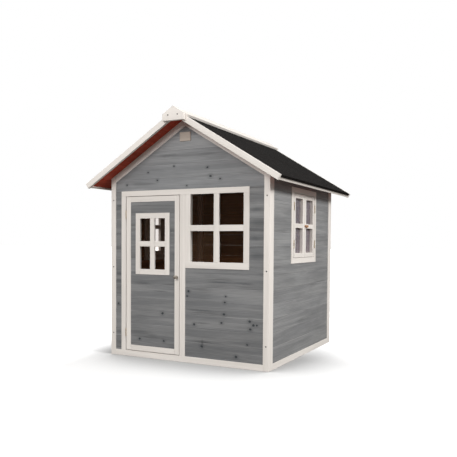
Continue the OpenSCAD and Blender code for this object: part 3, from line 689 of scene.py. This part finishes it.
pane("front_window_pane", film_pane)
pane("door_window_pane", front_pane)
for name in ("right_front_pane", "right_back_pane"):
    pane(name, side_pane)
for name in ("left_front_pane", "left_back_pane"):
    pane(name, clear_pane)


# ------------------------------------------------------------- the hardware

def metal(node, material):
    """A CAD node's metal parts with their edges broken."""
    piece = Piece(node + "_metal", node)
    for part in cad_parts(node):
        piece.add(round_arrises(part, METAL_ROUND, 1, 0.002))
    return piece.make(body_of(node), [material], [node], METAL_SMOOTH)


def turned(profile, origin, axis, segments):
    """A solid of revolution from origin along axis: profile is [distance, radius] from end to end."""
    part = bmesh.new()
    side = axis.orthogonal().normalized()
    other = axis.cross(side)
    rings = []
    for distance, radius in profile:
        centre = origin + axis * distance
        if radius == 0:
            rings.append([part.verts.new(centre)] * segments)
            continue
        angles = [math.tau * i / segments for i in range(segments)]
        rings.append([part.verts.new(centre + (side * math.cos(a) + other * math.sin(a)) * radius)
                      for a in angles])
    for a, b in zip(rings, rings[1:]):
        for i in range(segments):
            j = (i + 1) % segments
            corners = list(dict.fromkeys((a[i], a[j], b[j], b[i])))
            part.faces.new(corners)
    for ring in (rings[0], rings[-1]):
        if ring[0] is not ring[1]:
            part.faces.new(ring)
    bmesh.ops.recalc_face_normals(part, faces=part.faces[:])
    return part


def cross_recess(part, out, half_length=0.0022, half_width=0.0005, depth=0.0013):
    """Sinks a tapered cross into the flat end of a screw's head, with out pointing from that end."""
    flat = [f for f in part.faces if f.normal.dot(out) > 0.99]
    top = max(flat, key=lambda f: f.calc_center_median().dot(out))
    centre = top.calc_center_median()
    rim = list(top.edges)
    side = out.orthogonal().normalized()
    other = out.cross(side)
    side, other = (side + other * 0.4).normalized(), (other - side * 0.4).normalized()
    bmesh.ops.delete(part, geom=[top], context="FACES_ONLY")
    arm = [(half_length, -half_width), (half_length, half_width), (half_width, half_width)]
    outline = []
    for turn in range(4):
        for a, b in arm:
            for _ in range(turn):
                a, b = -b, a
            outline.append((a, b))
    upper = [part.verts.new(centre + side * a + other * b) for a, b in outline]
    lower = [part.verts.new(centre + (side * a + other * b) * 0.55 - out * depth) for a, b in outline]
    count = len(outline)
    for i in range(count):
        j = (i + 1) % count
        part.faces.new((upper[i], upper[j], lower[j], lower[i]))
    part.faces.new(lower)
    inner = [part.edges.get((upper[i], upper[(i + 1) % count])) for i in range(count)]
    bmesh.ops.triangle_fill(part, use_beauty=True, edges=rim + inner)
    bmesh.ops.recalc_face_normals(part, faces=part.faces[:])
    return part


def screws(node):
    """The CAD's screws with a cross recess in each head."""
    piece = Piece(node + "_metal", node)
    for part in cad_parts(node):
        part.normal_update()
        out = -Y if middle(part).y < 0 else Y
        round_arrises(part, METAL_ROUND * 2, 2, 0.0005)
        part.normal_update()
        piece.add(cross_recess(part, out), Y)
    # The heads are coloured near black, a painted shade of their recesses
    return piece.make(body_of(node), [painted_shade_zinc], [node], METAL_SMOOTH)


def knob(node):
    """A turned knob with the CAD's length and greatest radius, on a small rose."""
    low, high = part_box(node)
    low, high = Vector(low), Vector(high)
    radius, length = (high.x - low.x) / 2, high.y - low.y
    origin = Vector(((low.x + high.x) / 2, high.y, (low.z + high.z) / 2))
    shape = [(0.0, 0.0), (0.0, 0.72), (0.04, 0.78), (0.09, 0.76), (0.12, 0.66), (0.14, 0.44), (0.22, 0.36),
             (0.34, 0.35), (0.42, 0.40), (0.47, 0.55), (0.52, 0.74), (0.58, 0.88), (0.65, 0.96), (0.72, 1.0),
             (0.80, 0.98), (0.88, 0.86), (0.94, 0.66), (0.98, 0.38), (1.0, 0.0)]
    piece = Piece(node + "_metal", node)
    piece.add(turned([(d * length, r * radius) for d, r in shape], origin, -Y, 40), Y)
    return piece.make(body_of(node), [satin_knob], [node])


def plaque_pins():
    """Two round-headed pins that hold the plaque."""
    low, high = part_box("gable_plaque")
    piece = Piece("gable_plaque_pins", "pins")
    dome = [(0.0, 0.0), (0.0, 0.0024), (0.0004, 0.0024), (0.0009, 0.0019), (0.0012, 0.0010), (0.0013, 0.0)]
    for x in (low[0] + PIN_INSET, high[0] - PIN_INSET):
        piece.add(turned(dome, Vector((x, low[1], (low[2] + high[2]) / 2)), -Y, 20), Y)
    return piece.make("root", [zinc])


for name in ("door_hinge_plates", "window_hinge_plates", "hinge_pins", "door_hinge_leaves",
             "right_front_hardware", "right_back_hardware", "left_front_hardware", "left_back_hardware"):
    metal(name, brass)
screws("frame_screws")
knob("door_knob")
plaque_pins()


# ------------------------------------------------------------ the studio

def studio_floor():
    """A white sweep that throws little light back under the roof. For the camera it also glows behind the
    house and to its left, so that only a soft shadow at the foot of the walls is left, and there its colour
    is darkened by ambient occlusion, a painted shadow."""
    s = Shader("studio_floor")
    place = s.node("TexCoord").outputs["Object"]
    base = s.mix(s.span(s.noise(place, 0.6, 2.0), 0.3, 0.7), (0.74, 0.74, 0.74), (0.76, 0.76, 0.76))
    # Painted shadow: the floor's colour darkens within half a metre of the walls, by ambient occlusion
    painted_shadow_ao = s.node("AmbientOcclusion", Distance=0.5).outputs["AO"]
    paper = s.node("BsdfDiffuse", Color=s.shade(base, s.span(painted_shadow_ao, 0.45, 1.0, 0.5, 1.0)))
    away = s.vector("LENGTH", place)
    behind = s.span(s.vector("DOT_PRODUCT", place, (0.0, 1.0, 0.0)), -0.2, 0.5, 0.0, 0.8)
    beside = s.span(s.vector("DOT_PRODUCT", place, (-1.0, 0.0, 0.0)), 0.55, 0.95, 0.0, 0.8)
    strength = s.math("ADD", s.span(away, 1.2, 5.0, 0.0, 0.5), s.math("MAXIMUM", behind, beside))
    glow = s.node("Emission", Color=(1, 1, 1, 1), Strength=strength)
    lit = s.node("AddShader")
    s.tree.links.new(paper.outputs[0], lit.inputs[0])
    s.tree.links.new(glow.outputs[0], lit.inputs[1])
    thrown = s.node("BsdfDiffuse", Color=(0.17, 0.16, 0.15, 1.0))
    seen = s.blend(s.node("LightPath").outputs["Is Camera Ray"], thrown, lit)
    mesh = bpy.data.meshes.new("studio_floor")
    half = 60.0
    corners = [(-half, -half, 0), (half, -half, 0), (half, half, 0), (-half, half, 0)]
    mesh.from_pydata(corners, [], [(0, 1, 2, 3)])
    mesh.materials.append(s.finish(seen))
    floor = bpy.data.objects.new("studio_floor", mesh)
    scene.collection.objects.link(floor)
    floor.location.z = -0.0005


def area_light(name, place, target, size, power):
    """A round soft light at place, aimed at target."""
    data = bpy.data.lights.new(name, "AREA")
    data.shape = "DISK"
    data.size = size
    data.energy = power
    light = bpy.data.objects.new(name, data)
    light.location = place
    light.rotation_mode = "QUATERNION"
    light.rotation_quaternion = (Vector(target) - Vector(place)).to_track_quat("-Z", "Y")
    light.visible_glossy = False
    scene.collection.objects.link(light)


def studio():
    """A white room: bright overhead, dim towards the horizon for everything but the camera."""
    world = bpy.data.worlds.new("studio")
    scene.world = world
    world.use_nodes = True
    tree = world.node_tree
    tree.nodes.clear()

    def node(kind, **inputs):
        made = tree.nodes.new("ShaderNode" + kind)
        for key, value in inputs.items():
            made.inputs[key.replace("_", " ")].default_value = value
        return made

    height = node("SeparateXYZ")
    tree.links.new(node("TexCoord").outputs["Generated"], height.inputs[0])
    strength = node("MapRange", From_Min=0.0, From_Max=1.0, To_Min=0.24, To_Max=1.15)
    tree.links.new(height.outputs["Z"], strength.inputs["Value"])
    room = node("Background", Color=(1.0, 0.995, 0.985, 1.0))
    tree.links.new(strength.outputs["Result"], room.inputs["Strength"])
    paper = node("Background", Color=(1, 1, 1, 1), Strength=1.0)
    seen = node("MixShader")
    tree.links.new(node("LightPath").outputs["Is Camera Ray"], seen.inputs[0])
    tree.links.new(room.outputs[0], seen.inputs[1])
    tree.links.new(paper.outputs[0], seen.inputs[2])
    tree.links.new(seen.outputs[0], node("OutputWorld").inputs["Surface"])
    scene.view_settings.view_transform = "Standard"
    scene.view_settings.look = "None"
    studio_floor()
    area_light("key", (4.7, -1.0, 3.4), (0.0, 0.0, 0.7), 1.5, 215)
    area_light("fill", (-0.4, -5.2, 2.7), (0.0, -0.5, 1.0), 2.4, 150)


def camera():
    """The camera stands to the front right, low, a little above the front window's sill."""
    yaw, dip, roll = math.radians(27.13), math.radians(1.91), math.radians(0.395)
    ahead = Vector((-math.sin(yaw) * math.cos(dip), math.cos(yaw) * math.cos(dip), -math.sin(dip)))
    level = Vector((math.cos(yaw), math.sin(yaw), 0))
    above = level.cross(ahead)
    right = level * math.cos(roll) + above * math.sin(roll)
    up = above * math.cos(roll) - level * math.sin(roll)
    data = bpy.data.cameras.new("camera")
    data.sensor_width = 36.0
    data.lens = 45.71
    data.shift_y = 0.0723
    data.clip_end = 200.0
    made = bpy.data.objects.new("camera", data)
    scene.collection.objects.link(made)
    turn = Matrix((right, up, -ahead)).transposed().to_4x4()
    made.matrix_world = Matrix.Translation((1.8159, -3.5348, 0.7244)) @ turn
    scene.camera = made


studio()
camera()
